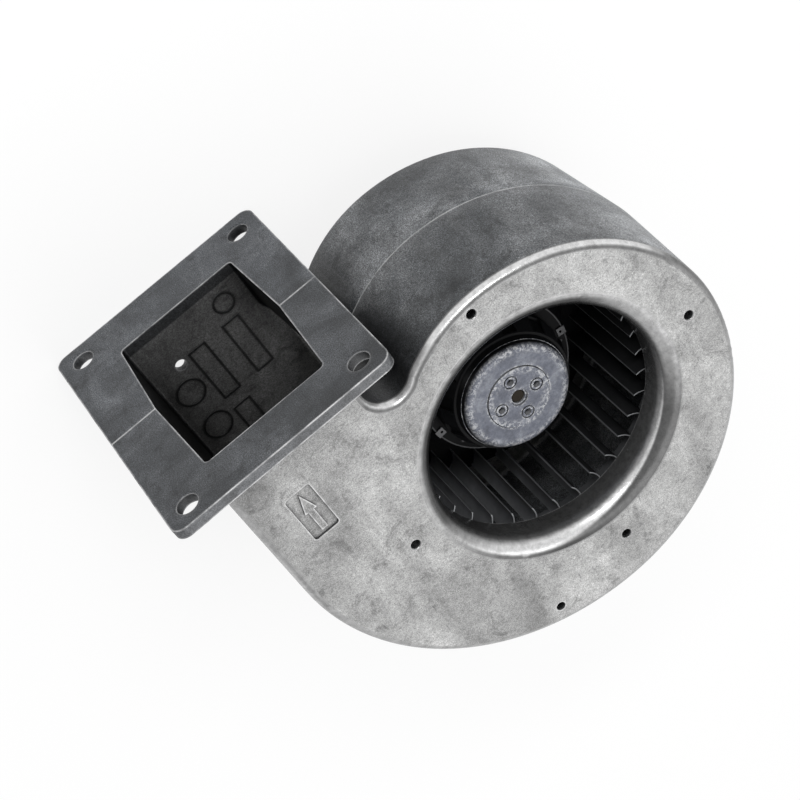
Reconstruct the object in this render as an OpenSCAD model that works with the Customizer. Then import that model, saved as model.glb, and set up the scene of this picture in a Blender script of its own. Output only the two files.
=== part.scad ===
// Centrifugal fan: a scroll housing cast in two halves, a drum impeller with curved blades,
// and a motor whose outer shell turns inside the drum. The fan lies on its back: Z is the
// shaft axis, the inlet faces +Z, the outlet blows toward -Y, and Z = 0 is the rest plane.

/* [Scroll] */
// Depth of the inlet half, from the split line to the inlet face
front_depth = 50; // [44:1:56]
// Depth of the motor half, from the split line to the back face
back_depth = 48; // [42:1:54]
// Drum to the outside of the straight wall, at the inlet face
straight_gap = 50.7; // [46:0.1:56]
// Drum to the outside of the scroll opposite the outlet
top_gap = 29.7; // [26:0.1:33]
// Drum to the outside of the scroll opposite the straight wall
left_gap = 20.5; // [18:0.1:24]
// Drum to the outside of the scroll beside the outlet
tongue_gap = 13.4; // [12:0.1:16]
// Shaft axis to the place where the first arc meets the second
crown_x = 6.5; // [4:0.5:9]
// Thickness of the scroll's side wall
side_wall = 3.4; // [2.6:0.1:4.4]
// Thickness of the inlet wall
front_wall = 4; // [3:0.1:5]
// Thickness of the back wall
back_wall = 3.4; // [2.6:0.1:4.4]
// How far the draft of each half widens the scroll at the split line
draft = 2.5; // [2:0.1:4]
// Rounding of the outer edge of both halves
edge_r = 3.5; // [2:0.1:5]

/* [Outlet] */
// Width of the duct, outside, at the inlet face
duct_w = 61.2; // [56:0.1:66]
// Shaft axis to the face of the outlet flange
flange_y = 90; // [87:0.5:96]
// How far the flange stands out beside the straight wall
flange_right = 20.3; // [18:0.1:23]
// How far the flange stands out on the tongue side
flange_left = 16.5; // [14:0.1:19]
// Height of the flange
flange_h = 134; // [130:1:140]
// Thickness of the flange
flange_t = 4.5; // [3.5:0.5:6]
// Rounding of the flange's corners
flange_corner_r = 5; // [4:0.5:8]
// Edge of the flange to the middle of its bolt holes
flange_hole_edge = 10; // [9:0.5:11]
// Bolt hole of the flange
flange_hole_d = 9; // [8:0.5:10]
// Radius of the round valley between the duct and the scroll
valley_r = 10.5; // [9:0.5:12]
// Radius of the scroll's last arc, which runs into the valley
turn_r = 62; // [56:0.5:70]

/* [Inlet] */
// Throat of the bell mouth
throat_d = 100; // [96:1:102]
// Rounding of the bell mouth
lip_r = 7; // [5:0.5:9]
// Length of the throat below the inlet face
throat_depth = 15.5; // [13:0.5:17]
// Wall of the throat
throat_wall = 2.6; // [2:0.1:3.4]
// Edge of the inlet face beside the outlet to the nearest guard hole
guard_edge = 5.4; // [4.5:0.1:6.5]
// Tapped hole for the guard screws
guard_hole_d = 4; // [3:0.5:5]
// Depth of the direction arrow's recess
recess_depth = 1; // [0.5:0.1:1.5]

/* [Impeller] */
// Outside of the drum
drum_d = 120; // [116:1:122]
// Depth of the blades, from the hoop inward
blade_depth = 10.5; // [9:0.1:12]
// Number of blades
blade_count = 33; // [28:1:38]
// Thickness of a blade
blade_t = 0.5; // [0.4:0.1:0.8]
// Radius of a blade's curve for each millimetre of its depth
blade_bend = 0.85; // [0.75:0.05:1.1]
// Gap between the throat and the drum
throat_gap = 5; // [3:0.5:6]
// Length of the blades
blade_len = 54.5; // [50:0.5:57]
// Sheet of the back plate and of the hub cone
plate_t = 1; // [0.8:0.1:1.4]
// Width of the flat foot of the hub cone
hub_foot_w = 4; // [3.5:0.1:5]
// Windows in the hub cone
window_count = 12; // [8:1:14]

/* [Motor] */
// Rotor end below the inlet face
rotor_down = 27.1; // [25:0.1:30]
// Hub disc in the rotor end
hub_d = 26.8; // [25:0.1:29]
// Width of the sloped shoulder of the rotor
shoulder_w = 4; // [3:0.2:6]
// Outside of the stator
stator_d = 42; // [40:0.5:43]
// Gap between stator and rotor
air_gap = 0.35; // [0.3:0.05:0.6]
// Width of the rotor sheets, from the air gap to the shell
rotor_core_w = 4.95; // [4.5:0.05:5.5]
// Shaft
shaft_d = 6; // [5:0.5:6.5]
// Outside of the ball bearings
bearing_d = 19; // [18.5:0.5:20]
// Width of the ball bearings
bearing_w = 6; // [5:0.5:7]
// Balls in each bearing
ball_count = 7; // [6:1:7]
// Outside of the motor flange
motor_flange_d = 92; // [88:1:96]
// Height of the can for the leads
can_h = 14; // [12:0.5:16]

/* [Hidden] */
$fn = 96;
tiny = 0.01;
// Gap between two pieces that slide together
seat_gap = 0.05;
// Gap between bearing balls and their tracks
ball_gap = 0.05;
// Room round a screw in a clearance hole
screw_slack = 0.2;
// How far a cut runs past the face it opens
past = 1;
// Levels, with the lower of the flange and the can on the rest plane
motor_plate_t = 5;
split_z = max(flange_h / 2, back_depth + motor_plate_t + can_h);
inlet_z = split_z + front_depth;
back_z = split_z - back_depth;
floor_z = back_z + back_wall;
roof_z = inlet_z - front_wall;
motor_plate_z = back_z - motor_plate_t;
can_z = motor_plate_z - can_h;
inner_r = 2;
// Outside of the scroll, measured from the shaft axis
drum_r = drum_d / 2;
straight_x = drum_r + straight_gap;
top_y = drum_r + top_gap;
left_x = -drum_r - left_gap;
bottom_y = -drum_r - tongue_gap;
// Arcs of the scroll, each tangent to the one before
arc1_r = straight_x - crown_x;
arc1_c = [crown_x, top_y - arc1_r];
arc2_r = crown_x - left_x;
arc2_c = [crown_x, top_y - arc2_r];
arc3_r = arc2_c[1] - bottom_y;
arc3_c = [left_x + arc3_r, arc2_c[1]];
straight_end_y = arc1_c[1];
// Last arc of the scroll, and the valley that bites a little into its end
turn_c = [arc3_c[0], bottom_y + turn_r];
duct_x = straight_x - duct_w;
valley_x = duct_x - valley_r;
turn_bite = 0.4;
turn_reach = turn_r + valley_r - turn_bite;
turn_drop = sqrt(pow(turn_reach, 2) - pow(valley_x - turn_c[0], 2));
valley_y = round((turn_c[1] - turn_drop) * 100) / 100;
turn_way = ([valley_x, valley_y] - turn_c) / turn_reach;
half_way = (turn_way + [0, -1]) / norm(turn_way + [0, -1]);
// Width of the rim that carries the wall, and where the core meets it
rim_w = 10;
core_in = 5;
// How far the edge circle crosses the faces it rounds
edge_ease = 0.02;
// Outlet flange
flange_w = flange_left + duct_w + flange_right;
flange_x = straight_x + flange_right - flange_w / 2;
flange_hole_x = flange_w - 2 * flange_hole_edge;
flange_hole_z = flange_h - 2 * flange_hole_edge;
hole_chamfer = 0.3;
hole_dish_w = 1.4;
// Screw columns just inside the scroll wall, which join the two halves
boss_r = 4.8;
boss_clear = 0.6;
boss_in = side_wall + boss_clear + boss_r;
boss_places = [
    [arc1_c[0] + (arc1_r - boss_in) * cos(70.4), arc1_c[1] + (arc1_r - boss_in) * sin(70.4)],
    [arc2_c[0] + (arc2_r - boss_in) * cos(150), arc2_c[1] + (arc2_r - boss_in) * sin(150)],
    [arc3_c[0] + (arc3_r - boss_in) * cos(226), arc3_c[1] + (arc3_r - boss_in) * sin(226)],
    [arc1_c[0] + (arc1_r - boss_in) * cos(14), arc1_c[1] + (arc1_r - boss_in) * sin(14)]
];
screw_r = 2;
screw_head_r = 3.6;
screw_head_h = 2.6;
screw_grip = 14;
screw_tip_room = 3;
screw_head_sink = 0.4;
slot_w = 0.8;
slot_share = 0.62;
slot_deep_share = 0.45;
head_seat_z = back_z + screw_head_h + screw_head_sink;
// Inlet
throat_r = throat_d / 2;
throat_z = inlet_z - throat_depth;
guard_r = -bottom_y - guard_edge;
recess_in = 20.9;
recess_back = 33.5;
recess_x = straight_x - recess_in;
recess_y = recess_back - flange_y;
recess_w = 11.3;
recess_len = 23.4;
recess_corner_r = 1.2;
arrow_w = 2.7;
arrow_head = 9;
arrow_gap = 2;
arrow_sink = 0.2;
// Motor flange, its screws and its can
motor_screw_edge = 5;
motor_r = motor_flange_d / 2 - motor_screw_edge;
motor_turns = [45, 135, 225, 315];
motor_boss_r = 4.5;
motor_boss_h = 5;
spigot_wall = 2.5;
spigot_r = motor_r - motor_boss_r - spigot_wall;
can_clear = 1.4;
can_r = motor_r - screw_head_r - can_clear;
can_wall = 2;
cover_t = 3;
cover_ledge = 1.4;
cover_turns = [30, 150, 270];
cover_post_r = 3.4;
cover_post_clear = 0.6;
cover_pcd_r = can_r - can_wall - cover_ledge - cover_post_r - cover_post_clear;
cover_screw_r = 1.5;
cover_head_r = 2.8;
cover_head_h = 1.8;
cover_head_room = 0.3;
cover_head_sink = 0.2;
cover_grip = 6;
cover_slot_w = 0.7;
cover_slot_len = 3.2;
cover_slot_deep = 0.8;
gland_turn = 90;
gland_room = can_h - cover_t;
gland_lip_edge = 0.5;
gland_lip_r = gland_room / 2 - gland_lip_edge;
gland_step = 1.4;
gland_r = gland_lip_r - gland_step;
gland_bore_r = gland_r - gland_step;
gland_pad_in = 4;
gland_pad_x = can_r - gland_pad_in;
gland_pad_t = 5;
gland_pad_w = 16;
gland_cut = 5;
gland_lip_t = 1.4;
gland_z = can_z + cover_t + gland_room / 2;
// Drain hole and blank casting marks in the outlet, from the straight wall, the duct and the flange
drain_in = 17.7;
drain_back = 23;
drain_d = 5;
mark_h = 0.4;
mark_w = 0.8;
mark_r = 6.4;
mark_in = 13.7;
mark_backs = [36, 56.4];
small_mark_r = 4.8;
small_mark_in = 15.2;
small_mark_back = 13;
mark_frame_w = 8.5;
mark_frames = [[13.5, 21, 28], [30.5, 21, 28], [30.5, 55, 14]];
// Drum
drum_top = throat_z - throat_gap;
plate_top = drum_top - blade_len;
plate_z = plate_top - plate_t;
hoop_t = 0.6;
hoop_h = 8;
blade_outer_r = drum_r - hoop_t;
blade_inner_r = blade_outer_r - blade_depth;
blade_arc_r = blade_bend * blade_depth;
blade_lean = 38;
blade_turn = 8.1;
blade_c = [blade_inner_r + blade_arc_r * sin(blade_lean), -blade_arc_r * cos(blade_lean)];
cone_foot_in = 4.8;
cone_foot_r = blade_inner_r - cone_foot_in;
// Rotor shell, from the hub face down
stator_r = stator_d / 2;
shell_t = 1.2;
rotor_r = stator_r + air_gap + rotor_core_w + shell_t;
rotor_end_r = rotor_r - shoulder_w;
hub_z = inlet_z - rotor_down;
hub_r = hub_d / 2;
hub_t = 5;
hub_lip = 2.4;
hub_groove = 0.4;
hub_hole_at_r = 8.6;
hub_hole_r = 1.5;
hub_hole_deep = 3;
hub_hole_turn = -3;
hub_ring_out_r = 2.9;
hub_ring_w = 0.6;
hub_ring_deep = 0.6;
shaft_sink = 0.7;
shaft_ring_w = 0.8;
hub_stand = 0.5;
cup_top = hub_z - hub_stand;
cup_end_t = 1.6;
cup_round_r = 3;
cup_bend = 0.4;
cup_end_in = 1.4;
shoulder_drop = 13;
shoulder_z = cup_top - shoulder_drop;
shell_lift = 11;
shell_bottom = floor_z + shell_lift;
cup_round_c = [rotor_end_r - cup_round_r, cup_top - cup_round_r];
// Where the sloped shoulder leaves the rounded end
shoulder_d = [rotor_r - cup_round_c[0], shoulder_z - cup_round_c[1]];
shoulder_turn = atan2(shoulder_d[1], shoulder_d[0]) + acos(cup_round_r / norm(shoulder_d));
cup_tangent = cup_round_c + cup_round_r * [cos(shoulder_turn), sin(shoulder_turn)];
// Hub cone on the shoulder, its foot, rivets, crimped ring and clips
hub_cone_share = 0.3;
hub_cone_top = cup_tangent * (1 - hub_cone_share) + [rotor_r, shoulder_z] * hub_cone_share;
hub_skirt = 7.4;
hub_foot_z = shoulder_z - hub_skirt;
hub_ring_r = rotor_r + plate_t + hub_foot_w;
hub_ring_t = 0.5;
hub_ring_rise = 0.3;
lip_slack = 0.4;
rivet_count = 8;
rivet_turn = 30;
rivet_clear = 0.2;
rivet_head_r = (hub_foot_w - plate_t) / 2 - rivet_clear;
rivet_head_w = 0.5;
rivet_head_h = 0.6;
rivet_r = rivet_head_r - rivet_head_w;
rivet_at_r = rotor_r + plate_t + rivet_clear + rivet_head_r;
window_w = 6;
window_h = 8;
window_cut = 5;
window_turn = 1;
window_low = 1;
clip_turns = [8, 173];
clip_w = 3.6;
clip_clear = 1.4;
clip_reach = hub_foot_w - clip_clear;
clip_sheet = 0.5;
clip_hole_r = 0.6;
clip_drop = 0.6;
// Stator and rotor packs
tube_wall = 3;
tube_r = bearing_d / 2 + tube_wall;
frame_t = 1.5;
frame_in = 0.4;
slot_count = 12;
slot_r = 1.9;
slot_in = 3.6;
slot_at_r = stator_r - slot_in;
slot_mouth = 1.2;
wire_slack = 0.1;
coil_h = 6;
coil_round = 1.2;
coil_w = 4;
coil_in = 1.2;
coil_out_r = stator_r - coil_in;
coil_in_r = coil_out_r - coil_w;
tube_foot_clear = 0.6;
tube_foot_r = coil_in_r - tube_foot_clear;
tube_seat_r = (tube_r + tube_foot_r) / 2;
cutout_w = 3.4;
cutout_len = 9;
cutout_h = 2.6;
cutout_in = 0.3;
coil_room = 3.8;
stack_lift = 9.6;
stack_z = shell_bottom + stack_lift;
stack_top = hub_z - hub_t - coil_room - cutout_h - coil_h - frame_t;
stack_len = stack_top - stack_z;
bar_count = 20;
bar_r = 1.2;
bar_at_r = stator_r + air_gap + rotor_core_w / 2;
cage_ring_h = 3.5;
cage_out_gap = 0.3;
cage_in_gap = 0.6;
// Bearings and shaft
bearing_r = bearing_d / 2;
shaft_r = shaft_d / 2;
ring_wall = (bearing_r - shaft_r) * 0.3;
ball_r = (bearing_r - shaft_r) * 0.2;
track_r = (bearing_r + shaft_r) / 2;
pocket_gap = 0.1;
cage_t = 0.9;
cage_h = 3.2;
neck_in = 0.2;
tube_end_gap = 3.5;
tube_top = hub_z - hub_t - tube_end_gap;
bearing_drop = 1.6;
front_bearing_z = tube_top - bearing_w - bearing_drop;
bearing_lift = 1;
rear_bearing_z = back_z + bearing_lift;
seat_ledge = 1.5;
spring_h = 0.8;
spring_in = 0.2;
clip_t = 1;
clip_bite = 0.5;
clip_band = 1.4;
clip_open = 5;
shaft_end = 4;
shaft_z = rear_bearing_z - shaft_end;
shaft_chamfer = 0.5;
shaft_end_sink = 1.2;
shaft_top = hub_z - shaft_end_sink;
shaft_clip_t = 0.8;
shaft_clip_bite = 0.5;
shaft_clip_band = 1.3;
shaft_clip_open = 3;

// Section of a drafted wall about its own outer face, as wide as the rim, with its far edge rounded
module wall_section(h, round_r) {
    lean = draft / h;
    slope = sqrt(1 + lean * lean);
    round_c = [lean * round_r - slope * round_r, h - round_r];
    difference() {
        polygon([[-rim_w, 0], [draft, 0], [0, h], [-rim_w, h]]);
        difference() {
            polygon([
                round_c,
                [round_c[0], h + past],
                [draft + past, h + past],
                round_c + 2 * round_r * [1, lean] / slope
            ]);
            translate(round_c) circle(r = round_r + edge_ease);
        }
    }
}

// Section of the valley between duct and scroll, flared where the edge is rounded
module valley_section(r, h, round_r, left) {
    lean = draft / h;
    slope = sqrt(1 + lean * lean);
    round_c = [r + slope * round_r - lean * round_r, h - round_r];
    side = [
        [r - draft, -past],
        [r - draft, 0],
        round_c - round_r * [1, -lean] / slope,
        round_c,
        [round_c[0], h + past]
    ];
    far_side = left ? [for (i = [4 : -1 : 0]) [-side[i][0], side[i][1]]] : [[0, h + past], [0, -past]];
    difference() {
        polygon(concat(side, far_side));
        translate(round_c) circle(r = round_r + edge_ease);
        if (left) translate([-round_c[0], round_c[1]]) circle(r = round_r + edge_ease);
    }
}

// Share of a drafted round wall about its own centre
module wall_arc(centre, r, h, round_r, from, sweep) {
    translate([centre[0], centre[1], 0])
        rotate([0, 0, from])
            rotate_extrude(angle = sweep) translate([r, 0]) wall_section(h, round_r);
}

// Points along an arc, its end left out
function arc_points(centre, r, from) =
    [for (i = [0 : 2]) centre + r * [cos(from + 30 * i), sin(from + 30 * i)]];

// Solid of one scroll half grown by grow, from the split plane at z = 0 up to h
module scroll_solid(grow, h, round_r, end_y) {
    core = grow - core_in;
    difference() {
        union() {
            wall_arc(arc1_c, arc1_r + grow, h, round_r, 0, 90);
            wall_arc(arc2_c, arc2_r + grow, h, round_r, 90, 90);
            wall_arc(arc3_c, arc3_r + grow, h, round_r, 180, 90);
            wall_arc(turn_c, turn_r + grow, h, round_r, 270, 90);
            // straight wall
            translate([0, straight_end_y, 0]) rotate([90, 0, 0])
                linear_extrude(straight_end_y - end_y)
                    translate([straight_x + grow, 0]) wall_section(h, round_r);
            // core of the scroll and of the duct
            linear_extrude(h)
                polygon(concat(
                    arc_points(arc1_c, arc1_r + core, 0),
                    arc_points(arc2_c, arc2_r + core, 90),
                    arc_points(arc3_c, arc3_r + core, 180),
                    [
                        turn_c + (turn_r + core) * [0, -1],
                        turn_c + (turn_r + core) * half_way,
                        turn_c + (turn_r + core) * turn_way,
                        [valley_x, valley_y],
                        [valley_x, end_y],
                        [straight_x + core, end_y]
                    ]
                ));
        }
        translate([valley_x, valley_y, 0]) {
            rotate_extrude(angle = 180) valley_section(valley_r - grow, h, round_r, false);
            rotate([90, 0, 0])
                linear_extrude(valley_y - end_y + past)
                    valley_section(valley_r - grow, h, round_r, true);
        }
    }
}

// Half of the outlet flange with its two holes, standing on the split plane
module flange_half() {
    half_h = flange_h / 2;
    side_x = flange_w / 2 - flange_corner_r;
    translate([flange_x, -flange_y, 0])
        difference() {
            translate([0, flange_t, 0]) rotate([90, 0, 0])
                linear_extrude(flange_t) {
                    translate([-flange_w / 2, 0]) square([flange_w, half_h - flange_corner_r]);
                    translate([-side_x, 0]) square([2 * side_x, half_h]);
                    for (side = [-1, 1])
                        translate([side * side_x, half_h - flange_corner_r]) circle(r = flange_corner_r);
                }
            for (side = [-1, 1])
                translate([side * flange_hole_x / 2, 0, flange_hole_z / 2])
                    rotate([-90, 0, 0]) {
                        translate([0, 0, -past]) cylinder(d = flange_hole_d, h = flange_t + 2 * past);
                        translate([0, 0, -tiny])
                            cylinder(
                                d1 = flange_hole_d + 2 * hole_dish_w,
                                d2 = flange_hole_d,
                                h = hole_chamfer
                            );
                    }
        }
}

// Hollow scroll half with its half flange and its screw columns, standing on the split plane
module cast_half(depth, plate) {
    difference() {
        union() {
            scroll_solid(0, depth, edge_r, flange_t / 2 - flange_y);
            flange_half();
        }
        translate([0, 0, -tiny])
            scroll_solid(-side_wall, depth - plate + tiny, inner_r, -flange_y - past);
    }
    for (place = boss_places)
        translate([place[0], place[1], 0]) cylinder(r = boss_r, h = depth - plate / 2);
}

// Inlet half: bell mouth, guard holes, direction arrow and blind screw holes
module housing_front() {
    color([0.72, 0.72, 0.71])
    difference() {
        union() {
            translate([0, 0, split_z]) cast_half(front_depth, front_wall);
            translate([0, 0, throat_z])
                cylinder(r = throat_r + throat_wall, h = throat_depth - front_wall / 2);
        }
        // bell mouth
        translate([0, 0, throat_z - past]) cylinder(r = throat_r, h = throat_depth + 2 * past);
        rotate_extrude()
            difference() {
                translate([throat_r - past, inlet_z - lip_r]) square([lip_r + past, lip_r + past]);
                translate([throat_r + lip_r, inlet_z - lip_r]) circle(r = lip_r);
            }
        // guard holes
        for (turn = [0, 90, 180, 270])
            rotate([0, 0, turn]) translate([guard_r, 0, roof_z - past]) {
                cylinder(d = guard_hole_d, h = front_wall + 2 * past);
                translate([0, 0, front_wall + past - hole_chamfer])
                    cylinder(
                        d1 = guard_hole_d,
                        d2 = guard_hole_d + 2 * hole_chamfer + tiny,
                        h = hole_chamfer + tiny
                    );
            }
        // blind holes for the housing screws, the first one right through
        for (i = [0 : len(boss_places) - 1])
            translate([boss_places[i][0], boss_places[i][1], split_z - past])
                cylinder(r = screw_r, h = past + (i == 0 ? front_depth + past : screw_grip + screw_tip_room));
        direction_recess();
    }
}

// Outline of the recess, with rounded corners
module recess_outline() {
    translate([-recess_w / 2, recess_corner_r]) square([recess_w, recess_len - 2 * recess_corner_r]);
    translate([recess_corner_r - recess_w / 2, 0]) square([recess_w - 2 * recess_corner_r, recess_len]);
    for (x = [recess_corner_r - recess_w / 2, recess_w / 2 - recess_corner_r])
        for (y = [recess_corner_r, recess_len - recess_corner_r])
            translate([x, y]) circle(r = recess_corner_r);
}

// Recess with a raised arrow that points at the outlet
module direction_recess() {
    translate([recess_x, recess_y, inlet_z - recess_depth])
        difference() {
            linear_extrude(recess_depth + past)
                recess_outline();
            linear_extrude(recess_depth - arrow_sink)
                polygon([
                    [0, arrow_gap],
                    [arrow_w, arrow_gap + arrow_head],
                    [arrow_w / 2, arrow_gap + arrow_head],
                    [arrow_w / 2, recess_len - arrow_gap],
                    [-arrow_w / 2, recess_len - arrow_gap],
                    [-arrow_w / 2, arrow_gap + arrow_head],
                    [-arrow_w, arrow_gap + arrow_head]
                ]);
        }
}

// Motor half: spigot hole, motor screw bosses, screw columns, drain hole and blank casting marks
module housing_back() {
    color([0.5, 0.5, 0.5])
    difference() {
        union() {
            translate([0, 0, split_z]) mirror([0, 0, 1]) cast_half(back_depth, back_wall);
            for (turn = motor_turns)
                rotate([0, 0, turn]) translate([motor_r, 0, floor_z - past])
                    cylinder(r = motor_boss_r, h = motor_boss_h + past);
            casting_marks();
        }
        translate([0, 0, back_z - past]) cylinder(r = spigot_r, h = back_wall + 2 * past);
        for (turn = motor_turns)
            rotate([0, 0, turn]) translate([motor_r, 0, back_z - past])
                cylinder(r = screw_r, h = back_wall + motor_boss_h);
        for (place = boss_places)
            translate([place[0], place[1], 0]) {
                translate([0, 0, back_z - past])
                    cylinder(r = screw_r + screw_slack, h = back_depth + 2 * past);
                translate([0, 0, back_z - past])
                    cylinder(r = screw_head_r + screw_slack, h = head_seat_z - back_z + past);
            }
        translate([straight_x - drain_in, drain_back - flange_y, back_z - past])
            cylinder(d = drain_d, h = back_wall + 2 * past);
    }
}

// Blank ring of a casting mark
module mark_ring(r) {
    difference() {
        circle(r = r);
        circle(r = r - mark_w);
    }
}

// Blank rings and frames in low relief on the inside of the back wall
module casting_marks() {
    translate([0, -flange_y, floor_z - tiny])
        linear_extrude(mark_h + tiny) {
            translate([duct_x + small_mark_in, small_mark_back]) mark_ring(small_mark_r);
            for (back = mark_backs)
                translate([straight_x - mark_in, back]) mark_ring(mark_r);
            for (frame = mark_frames)
                translate([duct_x + frame[0], frame[1]])
                    difference() {
                        square([mark_frame_w, frame[2]]);
                        translate([mark_w, mark_w])
                            square([mark_frame_w - 2 * mark_w, frame[2] - 2 * mark_w]);
                    }
        }
}

// Pan-head screw that points up, with its head seat at z = 0
module pan_screw(shank_r, length, head_r, head_h) {
    cylinder(r = shank_r, h = length);
    translate([0, 0, -head_h])
        difference() {
            cylinder(r = head_r, h = head_h);
            for (turn = [0, 90])
                rotate([0, 0, turn]) translate([-head_r * slot_share, -slot_w / 2, -past])
                    cube([2 * head_r * slot_share, slot_w, past + head_h * slot_deep_share]);
        }
}

// Screws that pull the two halves together from the back
module housing_screws() {
    color([0.66, 0.67, 0.7])
    for (place = boss_places)
        translate([place[0], place[1], head_seat_z])
            pan_screw(screw_r - seat_gap, split_z - head_seat_z + screw_grip, screw_head_r, screw_head_h);
}

// Motor flange: plate on the back wall, can for the leads, and the tube that carries stator and bearings
module motor_flange() {
    color([0.62, 0.62, 0.62])
    difference() {
        union() {
            translate([0, 0, motor_plate_z]) {
                cylinder(d = motor_flange_d, h = motor_plate_t);
                cylinder(r = spigot_r - seat_gap, h = floor_z - motor_plate_z);
                cylinder(r = tube_foot_r, h = stack_z - frame_t - motor_plate_z);
                cylinder(r = tube_seat_r, h = stack_z - motor_plate_z);
                cylinder(r = tube_r, h = tube_top - motor_plate_z);
            }
            translate([0, 0, can_z])
                difference() {
                    cylinder(r = can_r, h = can_h + past);
                    translate([0, 0, cover_t]) cylinder(r = can_r - can_wall - cover_ledge, h = can_h);
                    translate([0, 0, -past]) cylinder(r = can_r - can_wall, h = cover_t + past);
                }
            for (turn = cover_turns)
                rotate([0, 0, turn]) translate([cover_pcd_r, 0, can_z + cover_t])
                    cylinder(r = cover_post_r, h = gland_room + past);
            rotate([0, 0, gland_turn]) translate([gland_pad_x, -gland_pad_w / 2, can_z + cover_t])
                cube([gland_pad_t, gland_pad_w, gland_room + past]);
        }
        // rear bearing seat, with the groove of its circlip
        translate([0, 0, motor_plate_z - past])
            cylinder(r = bearing_r, h = rear_bearing_z + bearing_w - motor_plate_z + past);
        translate([0, 0, rear_bearing_z - clip_t]) cylinder(r = bearing_r + clip_bite, h = clip_t);
        // bore between the seats
        translate([0, 0, motor_plate_z])
            cylinder(r = bearing_r - seat_ledge, h = tube_top - motor_plate_z + past);
        // front bearing seat, with room for its spring
        translate([0, 0, front_bearing_z - spring_h]) cylinder(r = bearing_r, h = tube_top);
        for (turn = motor_turns)
            rotate([0, 0, turn]) translate([motor_r, 0, motor_plate_z - past])
                cylinder(r = screw_r + screw_slack, h = motor_plate_t + 2 * past);
        for (turn = cover_turns)
            rotate([0, 0, turn]) translate([cover_pcd_r, 0, can_z + cover_t - past])
                cylinder(r = cover_screw_r, h = cover_grip + 2 * past);
        rotate([0, 0, gland_turn]) translate([gland_pad_x - gland_cut, 0, gland_z]) rotate([0, 90, 0])
            cylinder(r = gland_r, h = gland_pad_t + 2 * gland_cut);
    }
}

// Screws that hold the motor flange to the back wall
module motor_screws() {
    color([0.66, 0.67, 0.7])
    for (turn = motor_turns)
        rotate([0, 0, turn]) translate([motor_r, 0, motor_plate_z])
            pan_screw(
                screw_r - seat_gap,
                motor_plate_t + back_wall + motor_boss_h - screw_tip_room,
                screw_head_r,
                screw_head_h
            );
}

// Pressed cover over the leads, flush with the rim of the can
module rear_cover() {
    color([0.4, 0.4, 0.41])
    translate([0, 0, can_z])
        difference() {
            cylinder(r = can_r - can_wall - seat_gap, h = cover_t);
            for (turn = cover_turns)
                rotate([0, 0, turn]) translate([cover_pcd_r, 0, 0]) {
                    translate([0, 0, -past]) cylinder(r = cover_screw_r + screw_slack, h = cover_t + 2 * past);
                    translate([0, 0, -tiny])
                        cylinder(
                            r1 = cover_head_r + cover_head_room,
                            r2 = cover_screw_r + screw_slack,
                            h = cover_head_h
                        );
                }
        }
}

// Countersunk screws of the rear cover
module rear_cover_screws() {
    color([0.66, 0.67, 0.7])
    for (turn = cover_turns)
        rotate([0, 0, turn]) translate([cover_pcd_r, 0, can_z + cover_head_sink])
            difference() {
                union() {
                    cylinder(
                        r1 = cover_head_r,
                        r2 = cover_screw_r - seat_gap,
                        h = cover_head_h - cover_head_sink
                    );
                    translate([0, 0, cover_head_sink])
                        cylinder(r = cover_screw_r - seat_gap, h = cover_t + cover_grip - 2 * cover_head_sink);
                }
                translate([-cover_slot_len / 2, -cover_slot_w / 2, -past])
                    cube([cover_slot_len, cover_slot_w, past + cover_slot_deep - cover_head_sink]);
            }
}

// Rubber grommet where the leads leave the can
module cable_grommet() {
    color([0.08, 0.08, 0.08])
    rotate([0, 0, gland_turn]) translate([gland_pad_x, 0, gland_z]) rotate([0, 90, 0])
        difference() {
            union() {
                translate([0, 0, -gland_lip_t]) cylinder(r = gland_lip_r, h = gland_lip_t);
                cylinder(r = gland_r, h = gland_pad_t);
                translate([0, 0, gland_pad_t]) cylinder(r = gland_lip_r, h = gland_lip_t);
            }
            translate([0, 0, -gland_lip_t - past])
                cylinder(r = gland_bore_r, h = gland_pad_t + 2 * gland_lip_t + 2 * past);
        }
}

// Stack of stator sheets with round slots, pressed on the bearing tube
module stator_core() {
    color([0.45, 0.45, 0.47])
    translate([0, 0, stack_z])
        difference() {
            cylinder(r = stator_r, h = stack_len);
            translate([0, 0, -past]) cylinder(r = tube_r, h = stack_len + 2 * past);
            for (i = [0 : slot_count - 1])
                rotate([0, 0, i * 360 / slot_count]) {
                    translate([slot_at_r, 0, -past]) cylinder(r = slot_r, h = stack_len + 2 * past);
                    translate([slot_at_r, -slot_mouth / 2, -past])
                        cube([stator_r, slot_mouth, stack_len + 2 * past]);
                }
        }
}

// Insulating end ring of the stator, with a hole for each slot
module stator_frame(bore_r) {
    difference() {
        cylinder(r = stator_r - frame_in, h = frame_t);
        translate([0, 0, -past]) cylinder(r = bore_r, h = frame_t + 2 * past);
        for (i = [0 : slot_count - 1])
            rotate([0, 0, i * 360 / slot_count]) translate([slot_at_r, 0, -past])
                cylinder(r = slot_r, h = frame_t + 2 * past);
    }
}

module stator_frame_front() {
    color([0.88, 0.86, 0.8])
    translate([0, 0, stack_top]) stator_frame(tube_r + seat_gap);
}

module stator_frame_rear() {
    color([0.88, 0.86, 0.8])
    translate([0, 0, stack_z - frame_t]) stator_frame(tube_seat_r + seat_gap);
}

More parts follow.
